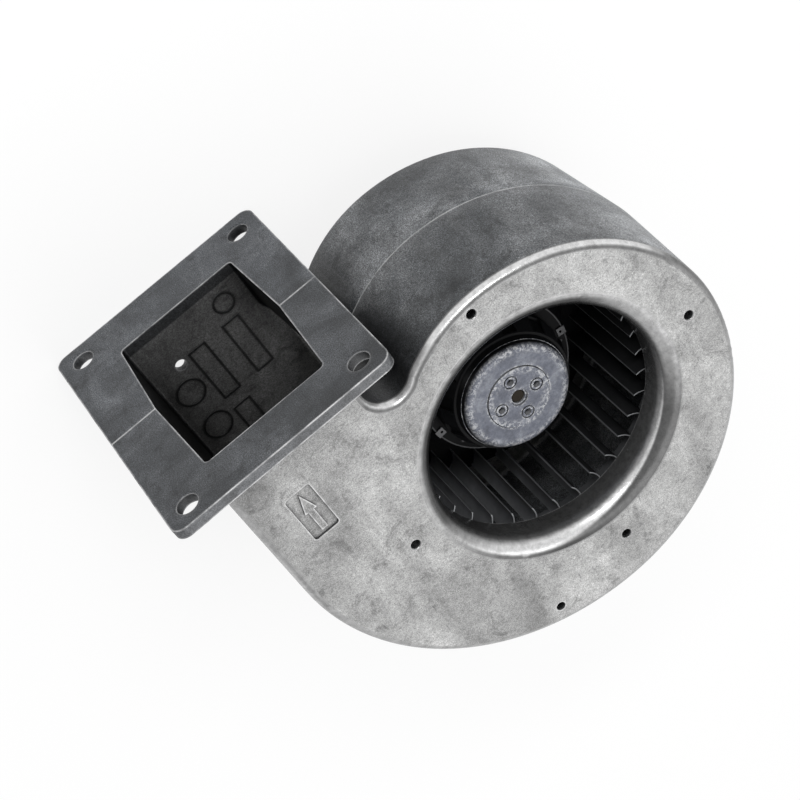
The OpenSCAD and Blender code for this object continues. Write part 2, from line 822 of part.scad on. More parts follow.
// Copper winding: two end turns joined by the wires in the slots
module stator_windings() {
    color([0.72, 0.4, 0.2]) {
        for (z = [stack_z - frame_t - coil_h, stack_top + frame_t])
            translate([0, 0, z])
                rotate_extrude() {
                    translate([coil_in_r + coil_round, 0])
                        square([coil_out_r - coil_in_r - 2 * coil_round, coil_h]);
                    translate([coil_in_r, coil_round])
                        square([coil_out_r - coil_in_r, coil_h - 2 * coil_round]);
                    for (x = [coil_in_r + coil_round, coil_out_r - coil_round])
                        for (y = [coil_round, coil_h - coil_round])
                            translate([x, y]) circle(r = coil_round);
                }
        for (i = [0 : slot_count - 1])
            rotate([0, 0, i * 360 / slot_count]) translate([slot_at_r, 0, stack_z - frame_t - past])
                cylinder(r = slot_r - wire_slack, h = stack_len + 2 * frame_t + 2 * past);
    }
}

// Temperature switch lying on the front end turns
module thermal_cutout() {
    color([0.15, 0.15, 0.16])
    translate([coil_in_r + cutout_in, -cutout_len / 2, stack_top + frame_t + coil_h])
        cube([cutout_w, cutout_len, cutout_h]);
}

// Ring of a ball bearing
module bearing_ring(in_r, out_r) {
    difference() {
        cylinder(r = out_r, h = bearing_w);
        translate([0, 0, -past]) cylinder(r = in_r, h = bearing_w + 2 * past);
    }
}

module bearing_outer_front() {
    color([0.75, 0.76, 0.78])
    translate([0, 0, front_bearing_z]) bearing_ring(bearing_r - ring_wall, bearing_r);
}

module bearing_outer_rear() {
    color([0.75, 0.76, 0.78])
    translate([0, 0, rear_bearing_z]) bearing_ring(bearing_r - ring_wall, bearing_r);
}

module bearing_inner_front() {
    color([0.75, 0.76, 0.78])
    translate([0, 0, front_bearing_z]) bearing_ring(shaft_r, shaft_r + ring_wall);
}

module bearing_inner_rear() {
    color([0.75, 0.76, 0.78])
    translate([0, 0, rear_bearing_z]) bearing_ring(shaft_r, shaft_r + ring_wall);
}

// Spring washer that loads the front bearing
module bearing_spring() {
    color([0.6, 0.6, 0.62])
    translate([0, 0, front_bearing_z - spring_h])
        difference() {
            cylinder(r = bearing_r - seat_gap, h = spring_h);
            translate([0, 0, -past]) cylinder(r = bearing_r - ring_wall + spring_in, h = spring_h + 2 * past);
        }
}

// Circlip in the tube below the rear bearing
module bearing_circlip() {
    color([0.35, 0.35, 0.37])
    translate([0, 0, rear_bearing_z - clip_t])
        difference() {
            cylinder(r = bearing_r + clip_bite, h = clip_t);
            translate([0, 0, -past]) cylinder(r = bearing_r - clip_band, h = clip_t + 2 * past);
            translate([0, -clip_open / 2, -past]) cube([bearing_d, clip_open, clip_t + 2 * past]);
        }
}

// Balls of both bearings
module bearing_balls() {
    color([0.82, 0.83, 0.85])
    for (z = [front_bearing_z, rear_bearing_z])
        for (i = [0 : ball_count - 1])
            rotate([0, 0, i * 360 / ball_count]) translate([track_r, 0, z + bearing_w / 2])
                sphere(r = ball_r - ball_gap);
}

// Cages that keep the balls apart
module bearing_cages() {
    color([0.7, 0.55, 0.3])
    for (z = [front_bearing_z, rear_bearing_z])
        translate([0, 0, z + bearing_w / 2])
            difference() {
                translate([0, 0, -cage_h / 2]) cylinder(r = track_r + cage_t / 2, h = cage_h);
                translate([0, 0, -cage_h]) cylinder(r = track_r - cage_t / 2, h = 2 * cage_h);
                for (i = [0 : ball_count - 1])
                    rotate([0, 0, i * 360 / ball_count]) translate([track_r - ball_r, 0, 0])
                        rotate([0, 90, 0]) cylinder(r = ball_r + pocket_gap, h = 2 * ball_r);
            }
}

// Shaft with the groove of its circlip and a chamfered end
module shaft() {
    color([0.55, 0.54, 0.5])
    difference() {
        union() {
            translate([0, 0, shaft_z]) cylinder(r = shaft_r, h = shaft_top - shaft_chamfer - shaft_z);
            translate([0, 0, shaft_top - shaft_chamfer])
                cylinder(r1 = shaft_r, r2 = shaft_r - shaft_chamfer, h = shaft_chamfer);
        }
        translate([0, 0, rear_bearing_z - shaft_clip_t])
            difference() {
                cylinder(r = shaft_r + past, h = shaft_clip_t);
                translate([0, 0, -past]) cylinder(r = shaft_r - shaft_clip_bite, h = shaft_clip_t + 2 * past);
            }
    }
}

// Circlip below the rear bearing's inner ring
module shaft_circlip() {
    color([0.35, 0.35, 0.37])
    translate([0, 0, rear_bearing_z - shaft_clip_t])
        difference() {
            cylinder(r = shaft_r + shaft_clip_band, h = shaft_clip_t);
            translate([0, 0, -past]) cylinder(r = shaft_r - shaft_clip_bite, h = shaft_clip_t + 2 * past);
            translate([0, -shaft_clip_open / 2, -past])
                cube([shaft_d, shaft_clip_open, shaft_clip_t + 2 * past]);
        }
}

// Hub disc in the rotor end, pressed on the shaft, with four ringed holes
module rotor_hub() {
    color([0.72, 0.72, 0.73])
    difference() {
        union() {
            translate([0, 0, hub_z - hub_t]) cylinder(r = hub_r, h = hub_t);
            translate([0, 0, hub_z - hub_t])
                cylinder(r = hub_r + hub_lip, h = cup_top - cup_end_t - hub_z + hub_t);
            translate([0, 0, front_bearing_z + bearing_w])
                cylinder(
                    r = shaft_r + ring_wall - neck_in,
                    h = hub_z - hub_t - front_bearing_z - bearing_w + past
                );
        }
        translate([0, 0, front_bearing_z]) cylinder(r = shaft_r, h = hub_z);
        translate([0, 0, hub_z - shaft_sink]) cylinder(r = shaft_r + shaft_ring_w, h = shaft_sink + past);
        for (i = [0 : 3])
            rotate([0, 0, i * 90 + hub_hole_turn]) translate([hub_hole_at_r, 0, hub_z]) {
                translate([0, 0, -hub_hole_deep]) cylinder(r = hub_hole_r, h = hub_hole_deep + past);
                translate([0, 0, -hub_ring_deep])
                    difference() {
                        cylinder(r = hub_ring_out_r, h = hub_ring_deep + past);
                        translate([0, 0, -past])
                            cylinder(r = hub_ring_out_r - hub_ring_w, h = hub_ring_deep + 3 * past);
                    }
            }
    }
}

// Deep-drawn shell of the rotor, with a rounded end and a sloped shoulder
module rotor_cup() {
    color([0.55, 0.56, 0.6])
    rotate_extrude()
        difference() {
            polygon([
                [hub_r + hub_groove, cup_top],
                [cup_round_c[0], cup_top],
                [cup_tangent[0], cup_top],
                cup_tangent,
                [rotor_r, shoulder_z],
                [rotor_r, shell_bottom],
                [rotor_r - shell_t, shell_bottom],
                [rotor_r - shell_t, shoulder_z - cup_bend],
                [rotor_end_r - cup_end_in, cup_top - cup_end_t],
                [hub_r + hub_groove, cup_top - cup_end_t]
            ]);
            difference() {
                translate(cup_round_c) square(2 * cup_round_r);
                translate(cup_round_c) circle(r = cup_round_r);
            }
        }
}

// Ring of rotor sheets, with holes for the cage bars
module rotor_core() {
    color([0.4, 0.4, 0.42])
    translate([0, 0, stack_z])
        difference() {
            cylinder(r = rotor_r - shell_t, h = stack_len);
            translate([0, 0, -past]) cylinder(r = stator_r + air_gap, h = stack_len + 2 * past);
            for (i = [0 : bar_count - 1])
                rotate([0, 0, i * 360 / bar_count]) translate([bar_at_r, 0, -past])
                    cylinder(r = bar_r, h = stack_len + 2 * past);
        }
}

// Cast cage of the rotor: two end rings and the bars between them
module rotor_cage() {
    color([0.7, 0.7, 0.72]) {
        for (z = [stack_z - cage_ring_h, stack_top])
            translate([0, 0, z])
                difference() {
                    cylinder(r = rotor_r - shell_t - cage_out_gap, h = cage_ring_h);
                    translate([0, 0, -past])
                        cylinder(r = stator_r + air_gap + cage_in_gap, h = cage_ring_h + 2 * past);
                }
        for (i = [0 : bar_count - 1])
            rotate([0, 0, i * 360 / bar_count]) translate([bar_at_r, 0, stack_z - past])
                cylinder(r = bar_r, h = stack_len + 2 * past);
    }
}

// Pressed hub cone on the shoulder of the rotor shell, with windows and a flat foot
module impeller_hub() {
    color([0.2, 0.2, 0.21])
    difference() {
        rotate_extrude()
            polygon([
                hub_cone_top,
                [rotor_r, shoulder_z],
                [rotor_r, hub_foot_z],
                [hub_ring_r, hub_foot_z],
                [hub_ring_r, hub_foot_z + plate_t],
                [rotor_r + plate_t, hub_foot_z + plate_t],
                [rotor_r + plate_t, shoulder_z],
                [hub_cone_top[0] + plate_t, hub_cone_top[1]]
            ]);
        for (i = [0 : window_count - 1])
            rotate([0, 0, i * 360 / window_count + window_turn])
                translate([rotor_r - window_cut, -window_w / 2, shoulder_z - window_low])
                    cube([2 * window_cut, window_w, window_h]);
        rivet_holes();
    }
}

// Rivets through the foot of the hub cone and the lip of the back plate
module hub_rivets() {
    color([0.6, 0.6, 0.62])
    for (i = [0 : rivet_count - 1])
        rotate([0, 0, i * 360 / rivet_count + rivet_turn]) translate([rivet_at_r, 0, hub_foot_z]) {
            translate([0, 0, -plate_t]) cylinder(r = rivet_r, h = 2 * plate_t);
            translate([0, 0, plate_t]) cylinder(r1 = rivet_head_r, r2 = rivet_r, h = rivet_head_h);
            translate([0, 0, -plate_t - rivet_head_h])
                cylinder(r1 = rivet_r, r2 = rivet_head_r, h = rivet_head_h);
        }
}

// Crimped ring round the foot of the hub cone
module hub_ring() {
    color([0.7, 0.7, 0.71])
    translate([0, 0, hub_foot_z])
        difference() {
            cylinder(r = hub_ring_r + hub_ring_t, h = plate_t + hub_ring_rise);
            translate([0, 0, -past]) cylinder(r = hub_ring_r, h = plate_t + hub_ring_rise + 2 * past);
        }
}

// Back plate of the drum: lip under the hub foot, long cone and flat rim under the blades
module impeller_back_plate() {
    color([0.22, 0.22, 0.23])
    difference() {
        rotate_extrude()
            polygon([
                [rotor_r + lip_slack, hub_foot_z],
                [hub_ring_r, hub_foot_z],
                [cone_foot_r + plate_t, plate_top],
                [drum_r, plate_top],
                [drum_r, plate_z],
                [cone_foot_r, plate_z],
                [hub_ring_r - plate_t, hub_foot_z - plate_t],
                [rotor_r + lip_slack, hub_foot_z - plate_t]
            ]);
        rivet_holes();
    }
}

// Holes for the hub rivets
module rivet_holes() {
    for (i = [0 : rivet_count - 1])
        rotate([0, 0, i * 360 / rivet_count + rivet_turn]) translate([rivet_at_r, 0, hub_foot_z - 2 * plate_t])
            cylinder(r = rivet_r, h = 4 * plate_t);
}

// Forward-curved blades, standing on the back plate
module impeller_blades() {
    color([0.26, 0.27, 0.28])
    for (i = [0 : blade_count - 1])
        rotate([0, 0, i * 360 / blade_count + blade_turn]) translate([0, 0, plate_top])
            linear_extrude(blade_len) blade_section();
}

// Bent strip between the inner and the outer edge of the blades
module blade_section() {
    intersection() {
        translate(blade_c)
            difference() {
                circle(r = blade_arc_r + blade_t / 2);
                circle(r = blade_arc_r - blade_t / 2);
            }
        translate([blade_c[0] - 2 * blade_arc_r, blade_c[1]]) square([4 * blade_arc_r, 2 * blade_arc_r]);
        difference() {
            circle(r = blade_outer_r);
            circle(r = blade_inner_r);
        }
    }
}

// Hoop round the front ends of the blades
module impeller_front_ring() {
    color([0.26, 0.27, 0.28])
    translate([0, 0, drum_top - hoop_h])
        difference() {
            cylinder(r = drum_r, h = hoop_h);
            translate([0, 0, -past]) cylinder(r = blade_outer_r, h = hoop_h + 2 * past);
        }
}

// Small balance clips pushed over the hub ring
module balance_clips() {
    color([0.7, 0.7, 0.71])
    for (turn = clip_turns)
        rotate([0, 0, turn]) {
            translate([hub_ring_r - clip_reach, -clip_w / 2, hub_foot_z + plate_t + hub_ring_rise])
                difference() {
                    cube([clip_reach + hub_ring_t + clip_sheet, clip_w, clip_sheet]);
                    translate([clip_reach / 2, clip_w / 2, -past])
                        cylinder(r = clip_hole_r, h = clip_sheet + 2 * past);
                }
            translate([hub_ring_r + hub_ring_t, -clip_w / 2, hub_foot_z - clip_drop])
                cube([clip_sheet, clip_w, plate_t + hub_ring_rise + clip_drop + clip_sheet]);
        }
}

housing_front();
housing_back();
housing_screws();
motor_flange();
motor_screws();
rear_cover();
rear_cover_screws();
cable_grommet();
stator_core();
stator_frame_front();
stator_frame_rear();
stator_windings();
thermal_cutout();
bearing_outer_front();
bearing_outer_rear();
bearing_spring();
bearing_circlip();
bearing_balls();
bearing_cages();
shaft();
shaft_circlip();
bearing_inner_front();
bearing_inner_rear();
rotor_hub();
rotor_cup();
rotor_core();
rotor_cage();
impeller_hub();
hub_ring();
hub_rivets();
impeller_back_plate();
impeller_blades();
impeller_front_ring();
balance_clips();
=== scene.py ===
import math

import bpy
from mathutils import Euler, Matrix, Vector

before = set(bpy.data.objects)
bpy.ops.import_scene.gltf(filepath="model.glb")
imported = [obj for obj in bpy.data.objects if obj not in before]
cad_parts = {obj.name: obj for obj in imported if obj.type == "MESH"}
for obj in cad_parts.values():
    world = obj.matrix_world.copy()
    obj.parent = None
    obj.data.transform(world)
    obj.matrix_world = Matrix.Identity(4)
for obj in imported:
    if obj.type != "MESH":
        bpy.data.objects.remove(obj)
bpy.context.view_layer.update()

# Camera
# A long lens above the outlet side, rolled so that the outlet lies at the upper left of the
# picture and the inlet at the lower right, as in the photograph.
camera_place = (0.0797, -0.5577, 0.7401)
camera_turn = (-30.228, -25.536, 148.132)
camera_data = bpy.data.cameras.new("camera")
camera_data.sensor_width = 36
camera_data.lens = 99.2
camera = bpy.data.objects.new("camera", camera_data)
camera.location = camera_place
camera.rotation_euler = Euler([math.radians(turn) for turn in camera_turn])
bpy.context.collection.objects.link(camera)
bpy.context.scene.camera = camera

# Scroll housing
# Two raw die castings in aluminium that meet at mid depth, left as they come out of the die:
# clouded skin with edges rubbed bright by handling, painted shade on the walls, flange, duct
# and hollows, and painted highlights on the bell mouth, the rounded outer edge and the wall's end.


class Finish:
    """A material and the few node steps that its recipe needs."""

    def __init__(self, name):
        self.material = bpy.data.materials.new(name)
        self.material.use_nodes = True
        self.tree = self.material.node_tree
        self.shader = self.tree.nodes["Principled BSDF"]
        coordinates = self.add("ShaderNodeTexCoord")
        self.place = coordinates.outputs["Object"]
        self.normal = coordinates.outputs["Normal"]

    def add(self, kind, **settings):
        step = self.tree.nodes.new(kind)
        for key, value in settings.items():
            setattr(step, key, value)
        return step

    def join(self, source, target):
        self.tree.links.new(source, target)

    def feed(self, source, socket):
        """Sets a number or a colour on a socket, or joins another step to it."""
        if isinstance(source, (int, float)):
            socket.default_value = source
        elif isinstance(source, tuple):
            socket.default_value = (*source, 1)
        else:
            self.join(source, socket)

    def noise(self, scale, detail=5, rough=0.6, warp=0.0, stretch=None):
        step = self.add("ShaderNodeTexNoise")
        step.inputs["Scale"].default_value = scale
        step.inputs["Detail"].default_value = detail
        step.inputs["Roughness"].default_value = rough
        step.inputs["Distortion"].default_value = warp
        place = self.place
        if stretch:
            mapping = self.add("ShaderNodeMapping")
            mapping.inputs["Scale"].default_value = stretch
            self.join(place, mapping.inputs["Vector"])
            place = mapping.outputs["Vector"]
        self.join(place, step.inputs["Vector"])
        return step.outputs["Fac"]

    def ramp(self, value, *stops):
        """Turns a value into a tone or a colour, by (value, tone) stops."""
        step = self.add("ShaderNodeValToRGB")
        points = step.color_ramp.elements
        while len(points) < len(stops):
            points.new(0.5)
        for point, (position, tone) in zip(points, stops):
            point.position = position
            point.color = (*tone, 1) if isinstance(tone, tuple) else (tone, tone, tone, 1)
        self.join(value, step.inputs["Fac"])
        return step.outputs["Color"]

    def span(self, value, low, high, to_low=0.0, to_high=1.0):
        """Goes evenly from one value to another while a value goes from low to high."""
        step = self.add("ShaderNodeMapRange")
        ends = {"From Min": low, "From Max": high, "To Min": to_low, "To Max": to_high}
        for name, number in ends.items():
            step.inputs[name].default_value = number
        self.join(value, step.inputs["Value"])
        return step.outputs["Result"]

    def mix(self, share, below, above, blend="MIX"):
        step = self.add("ShaderNodeMix", data_type="RGBA", blend_type=blend)
        for source, name in ((share, "Factor_Float"), (below, "A_Color"), (above, "B_Color")):
            self.feed(source, next(socket for socket in step.inputs if socket.identifier == name))
        return next(socket for socket in step.outputs if socket.identifier == "Result_Color")

    def times(self, color, factor, share=1.0):
        """Multiplies a colour, wholly or by a share."""
        return self.mix(share, color, factor, "MULTIPLY")

    def work_out(self, kind, first, second):
        step = self.add("ShaderNodeMath", operation=kind)
        for source, socket in zip((first, second), step.inputs):
            self.feed(source, socket)
        return step.outputs["Value"]

    def both(self, first, second):
        return self.work_out("MULTIPLY", first, second)

    def outside(self, share):
        return self.work_out("SUBTRACT", 1.0, share)

    def part_of(self, vector, axis):
        parts = self.add("ShaderNodeSeparateXYZ")
        self.join(vector, parts.inputs["Vector"])
        return parts.outputs[axis]

    def facing(self, axis, low, high):
        """Goes from 0 to 1 as a surface turns its face along an axis."""
        return self.span(self.part_of(self.normal, axis), low, high)

    def along(self, axis, low, high, to_low=0.0, to_high=1.0):
        """Goes from one value to another between two places along an axis."""
        return self.span(self.part_of(self.place, axis), low, high, to_low, to_high)

    def swept(self, low, high, to_low, to_high):
        """Goes from one value to another as a face turns from one way round the shaft to the other."""
        lever = self.add("ShaderNodeVectorMath", operation="CROSS_PRODUCT")
        self.join(self.place, lever.inputs[0])
        self.join(self.normal, lever.inputs[1])
        return self.span(self.part_of(lever.outputs["Vector"], "Z"), low, high, to_low, to_high)

    def from_axis(self, low, high):
        """Goes from 0 to 1 between two distances from the shaft axis."""
        flat = self.add("ShaderNodeVectorMath", operation="MULTIPLY")
        flat.inputs[1].default_value = (1, 1, 0)
        self.join(self.place, flat.inputs[0])
        length = self.add("ShaderNodeVectorMath", operation="LENGTH")
        self.join(flat.outputs["Vector"], length.inputs[0])
        return self.span(length.outputs["Value"], low, high)

    def within(self, low, high, blur=0.0003):
        """1 inside a box of object coordinates, 0 outside it."""
        share = 1.0
        for axis, near, far in zip("XYZ", low, high):
            share = self.both(share, self.along(axis, near - blur, near + blur))
            share = self.both(share, self.along(axis, far + blur, far - blur))
        return share

    def edges(self, width, inside):
        """Low on outer edges (inside) or in corners and holes, and 1 on open surfaces."""
        step = self.add("ShaderNodeAmbientOcclusion", inside=inside, only_local=True, samples=8)
        step.inputs["Distance"].default_value = width
        return step.outputs["AO"]

    def bump(self, *layers):
        """Stacks (height, strength, distance) layers onto the normal."""
        normal = None
        for height, strength, distance in layers:
            step = self.add("ShaderNodeBump")
            step.inputs["Strength"].default_value = strength
            step.inputs["Distance"].default_value = distance
            self.join(height, step.inputs["Height"])
            if normal:
                self.join(normal, step.inputs["Normal"])
            normal = step.outputs["Normal"]
        self.join(normal, self.shader.inputs["Normal"])

    def paint(self, color, rough, **numbers):
        self.feed(color, self.shader.inputs["Base Color"])
        self.feed(rough, self.shader.inputs["Roughness"])
        for name, value in numbers.items():
            self.shader.inputs[name.replace("_", " ")].default_value = value
        return self.material


seam_low = 0.0665
seam_high = 0.0675
face_z = 0.117
over_face = 0.119
crown_r = 0.0035
flange_box = ((0.02, -0.091, -0.001), (0.14, -0.0851, 0.135))
duct_box = ((0.05, -0.0897, 0.0224), (0.1103, -0.014, 0.1131))
crown_box = ((-0.12, -0.084, 0.1132), (0.13, 0.12, over_face))
recess_box = ((0.0835, -0.0575, 0.115), (0.0962, -0.0322, over_face))
mouth_box = ((-0.06, -0.06, 0.101), (0.06, 0.06, over_face))
mouth_rim = (0.0568, 0.0582)
# The wall tones are darker than the face tones: painted shade on the walls.
wall_tones = ((0.34, (0.058, 0.062, 0.067)), (0.5, (0.127, 0.133, 0.14)), (0.66, (0.245, 0.252, 0.261)))
face_tones = ((0.3, (0.29, 0.29, 0.288)), (0.5, (0.405, 0.405, 0.402)), (0.7, (0.52, 0.52, 0.516)))
flange_top = (0.24, 0.242, 0.245)
# Painted shade that darkens the flange.
flange_shade = (0.55, 0.562, 0.585)
# Painted shade that darkens the inside of the duct.
duct_shade = (0.12, 0.121, 0.124)
scuff_dark = (0.5, 0.5, 0.51)
rubbed_bright = (0.78, 0.78, 0.785)
edge_rounding = 0.00035


def die_skin(finish, clouds, specks, grain, duct):
    """The raw casting: pale faces, with walls, flange, duct and hollows darkened as painted shade, a
    painted highlight on the wall's end, and spots of many sizes.
    """
    flange = finish.within(*flange_box)
    flow = finish.noise(38, detail=6, warp=0.9, stretch=(1, 0.35, 1))
    smudges = finish.noise(70, detail=9, rough=0.7, warp=1.4)
    dust = finish.noise(2300, detail=3, rough=0.7)
    scuffs = finish.noise(120, rough=0.72, warp=2.4, stretch=(1, 0.3, 0.6))
    wall = finish.ramp(clouds, *wall_tones)
    wall = finish.times(wall, finish.along("Z", seam_low, seam_high, 1.05, 0.9))
    # Painted highlight: the wall's end is brightened up to 2.1 times.
    painted_end_sheen = finish.both(finish.along("X", -0.059, -0.0715), finish.along("Y", 0.0, -0.03))
    wall = finish.times(wall, finish.span(painted_end_sheen, 0.0, 1.0, 1.0, 2.1))
    wall = finish.times(wall, finish.ramp(dust, (0.34, 0.4), (0.5, 1.0), (0.66, 1.6)))
    face = finish.mix(flange, finish.ramp(clouds, *face_tones), flange_top)
    # Painted shade: surfaces that do not face up take the darker wall tones.
    skin = finish.mix(finish.facing("Z", 0.5, 0.97), wall, face)
    spots = (
        (flow, 0.75, ((0.36, 0.58), (0.6, 1.18))),
        (smudges, 0.9, ((0.34, 0.5), (0.4, 0.72), (0.45, 0.97), (0.62, 1.06))),
        (specks, 0.7, ((0.34, 0.6), (0.46, 1.0), (0.58, 1.0), (0.7, 1.4))),
        (grain, 0.8, ((0.26, 0.5), (0.5, 0.98), (0.74, 1.35))),
        (dust, 0.8, ((0.34, 0.45), (0.5, 1.0), (0.66, 1.6))),
    )
    for layer, share, stops in spots:
        skin = finish.times(skin, finish.ramp(layer, *stops), share)
    skin = finish.times(skin, scuff_dark, finish.span(scuffs, 0.64, 0.71))
    # Painted shade: hollows, corners and the inside of the duct are darkened.
    skin = finish.times(skin, finish.span(finish.edges(0.07, False), 0.3, 0.92, 0.1, 1.0))
    # Painted shade: the flange is darkened, and it gets darker towards its top.
    skin = finish.times(skin, flange_shade, flange)
    skin = finish.times(skin, finish.along("Z", 0.07, 0.1, 1.05, 0.88), flange)
    # Painted shade: the inside of the duct is darkened further.
    return finish.times(skin, duct_shade, duct)


def crown_share(finish):
    """1 on the scroll's rounded outer edge, but not in holes or in the arrow's recess."""
    share = finish.within(*crown_box)
    share = finish.both(share, finish.outside(finish.facing("Z", 0.95, 0.99)))
    share = finish.both(share, finish.span(finish.edges(0.005, False), 0.5, 0.72))
    return finish.both(share, finish.outside(finish.within(*recess_box)))


def crown_bands(finish):
    """Paints highlight and shade on the scroll's rounded edge: a bright painted highlight beside the
    outlet, greyer behind and at the end.
    """
    rise = finish.along("Z", face_z - crown_r, face_z)
    near_ridge = finish.ramp(
        rise, (0.0, 0.2), (0.1, 0.48), (0.22, 0.75), (0.66, 0.75), (0.8, 0.28), (0.88, 0.15), (0.95, 0.2)
    )
    far_ridge = finish.ramp(rise, (0.0, 0.2), (0.3, 0.36), (1.0, 0.4))
    end_ridge = finish.ramp(rise, (0.0, 0.06), (0.4, 0.1), (0.75, 0.16), (1.0, 0.3))
    ridge = finish.mix(finish.facing("Y", 0.1, -0.1), far_ridge, near_ridge)
    at_end = finish.both(finish.along("X", -0.066, -0.0745), finish.along("Y", 0.04, 0.0))
    return finish.mix(at_end, ridge, end_ridge)


def mouth_bands(finish):
    """Paints highlight and shade across the bell mouth's rounding: a bright painted highlight crescent on
    the far side, painted shade on the near one.
    """
    slope = finish.facing("Z", 0.0, 1.0)
    turned = finish.work_out("ADD", slope, finish.along("X", -0.06, 0.06, 0.512, -0.256))
    crescent = (
        (0.0, 0.1), (0.3, 0.17), (0.45, 0.28), (0.56, 0.52),
        (0.64, 0.65), (0.88, 0.65), (0.96, 0.13), (1.0, 0.085),
    )
    far_lip = finish.ramp(turned, *crescent)
    far_rim = finish.span(slope, 0.955, 0.99, 1.0, 0.14)
    far_lip = finish.times(far_lip, far_rim, finish.along("X", -0.012, 0.02))
    near_lip = finish.ramp(slope, (0.6, 0.03), (0.87, 0.05), (0.94, 0.14), (0.99, 0.36))
    dark_lip = finish.ramp(slope, (0.6, 0.008), (0.87, 0.012), (0.94, 0.04), (0.97, 0.17), (0.99, 0.38))
    near_lip = finish.mix(finish.along("Y", -0.018, -0.036), near_lip, dark_lip)
    side_lip = finish.ramp(slope, (0.0, 0.08), (0.4, 0.13), (0.6, 0.25), (0.75, 0.4), (1.0, 0.4))
    lip = finish.mix(finish.along("X", -0.036, -0.05), near_lip, side_lip)
    return finish.mix(finish.along("Y", 0.0, 0.034), lip, far_lip)


def cast_finish(name):
    finish = Finish(name)
    clouds = finish.noise(24, detail=9, rough=0.64, warp=0.6)
    specks = finish.noise(330, detail=6, rough=0.75)
    grain = finish.noise(900, detail=4, rough=0.8)
    duct = finish.within(*duct_box)
    skin = die_skin(finish, clouds, specks, grain, duct)
    mouth = finish.both(finish.within(*mouth_box), finish.outside(finish.from_axis(*mouth_rim)))
    # Painted highlights and shade on the bell mouth and the rounded outer edge, which are also made
    # glossier.
    painted_highlight_and_gloss = finish.work_out("MAXIMUM", crown_share(finish), mouth)
    painted_highlight_and_shade = finish.mix(mouth, crown_bands(finish), mouth_bands(finish))
    painted_highlight_and_shade = finish.times(painted_highlight_and_shade, finish.ramp(specks, (0.35, 0.72), (0.6, 1.12)))
    skin = finish.mix(finish.both(painted_highlight_and_gloss, 0.97), skin, painted_highlight_and_shade)
    worn = finish.span(finish.edges(0.0008, True), 0.92, 0.6)
    worn = finish.both(worn, finish.span(duct, 0.0, 1.0, 0.85, 0.06))
    worn = finish.both(worn, finish.span(finish.noise(130, rough=0.7), 0.38, 0.58, 0.3, 1.0))
    skin = finish.mix(worn, skin, rubbed_bright)
    rough = finish.span(clouds, 0.25, 0.75, 0.38, 0.52)
    rough = finish.work_out("SUBTRACT", rough, finish.both(painted_highlight_and_gloss, 0.2))
    metal = finish.work_out("ADD", finish.both(painted_highlight_and_gloss, 0.3), finish.span(duct, 0.0, 1.0, 0.2, 0.85))
    finish.join(metal, finish.shader.inputs["Metallic"])
    finish.bump((finish.noise(240, detail=3), 0.22, 0.0004), (grain, 0.28, 0.0002))
    return finish.paint(skin, rough)


def dress(node, material, edge=None):
    """Gives a CAD node its finish, and rounds its sharp edges where a width is given."""
    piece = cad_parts[node]
    piece.data.materials.clear()
    piece.data.materials.append(material)
    if edge:
        weld = piece.modifiers.new("weld", "WELD")
        weld.merge_threshold = 1e-6
        flat = piece.modifiers.new("flat", "DECIMATE")
        flat.decimate_type = "DISSOLVE"
        flat.angle_limit = math.radians(0.3)
        bevel = piece.modifiers.new("edge", "BEVEL")
        bevel.width = edge
        bevel.segments = 2
        bevel.limit_method = "ANGLE"
        bevel.angle_limit = math.radians(35)
        bevel.harden_normals = True


cast_skin = cast_finish("cast_aluminium")
for half in ("housing_front", "housing_back"):
    dress(half, cast_skin, edge_rounding)

# Screws
# Zinc plated steel: pan heads that clamp the halves and hold the motor flange, and countersunk
# heads that hold the cover.


def metal_finish(name, tone):
    """Bare or plated metal with duller patches."""
    finish = Finish(name)
    patches = finish.noise(300, detail=4)
    dull = tuple(0.75 * part for part in tone)
    finish.bump((finish.noise(1500, detail=2), 0.2, 0.0001))
    color = finish.ramp(patches, (0.3, dull), (0.7, tone))
    return finish.paint(color, finish.span(patches, 0.3, 0.7, 0.25, 0.4), Metallic=1.0)


zinc = metal_finish("zinc_plate", (0.62, 0.63, 0.66))
for screws in ("housing_screws", "motor_screws", "rear_cover_screws"):
    dress(screws, zinc)

# Motor flange and cover
# A cast flange closes the back wall and carries the stator; a black coated sheet covers the
# leads, which leave through a rubber grommet.
dress("motor_flange", cast_skin)


def coat_finish(name, tone, rough):
    """Coating, rubber or moulding with a slightly uneven tone and gloss."""
    finish = Finish(name)
    patches = finish.noise(400, detail=4)
    dull = tuple(0.7 * part for part in tone)
    finish.bump((finish.noise(2200, detail=2), 0.35, 0.0002))
    color = finish.ramp(patches, (0.3, dull), (0.7, tone))
    return finish.paint(color, finish.span(patches, 0.3, 0.7, rough - 0.05, rough + 0.1))


dress("rear_cover", coat_finish("black_coat", (0.03, 0.03, 0.032), 0.45))
dress("cable_grommet", coat_finish("black_rubber", (0.02, 0.02, 0.02), 0.7))

# Stator
# A stack of electrical sheets with insulating end rings, copper coils and a temperature
# switch, pressed on the bearing tube inside the turning shell.
sheet_steel = metal_finish("electrical_sheet", (0.32, 0.32, 0.34))
dress("stator_core", sheet_steel)
insulation = coat_finish("insulation", (0.75, 0.72, 0.62), 0.5)
for ring in ("stator_frame_front", "stator_frame_rear"):
    dress(ring, insulation)
copper = Finish("copper_wire")
strands = copper.noise(900, detail=2, rough=0.5, stretch=(1, 1, 6))
copper.bump((strands, 0.6, 0.0003))
copper_color = copper.ramp(strands, (0.35, (0.35, 0.13, 0.05)), (0.65, (0.75, 0.36, 0.17)))
dress("stator_windings", copper.paint(copper_color, 0.35, Metallic=0.9))
dress("thermal_cutout", coat_finish("switch_case", (0.03, 0.03, 0.035), 0.4))

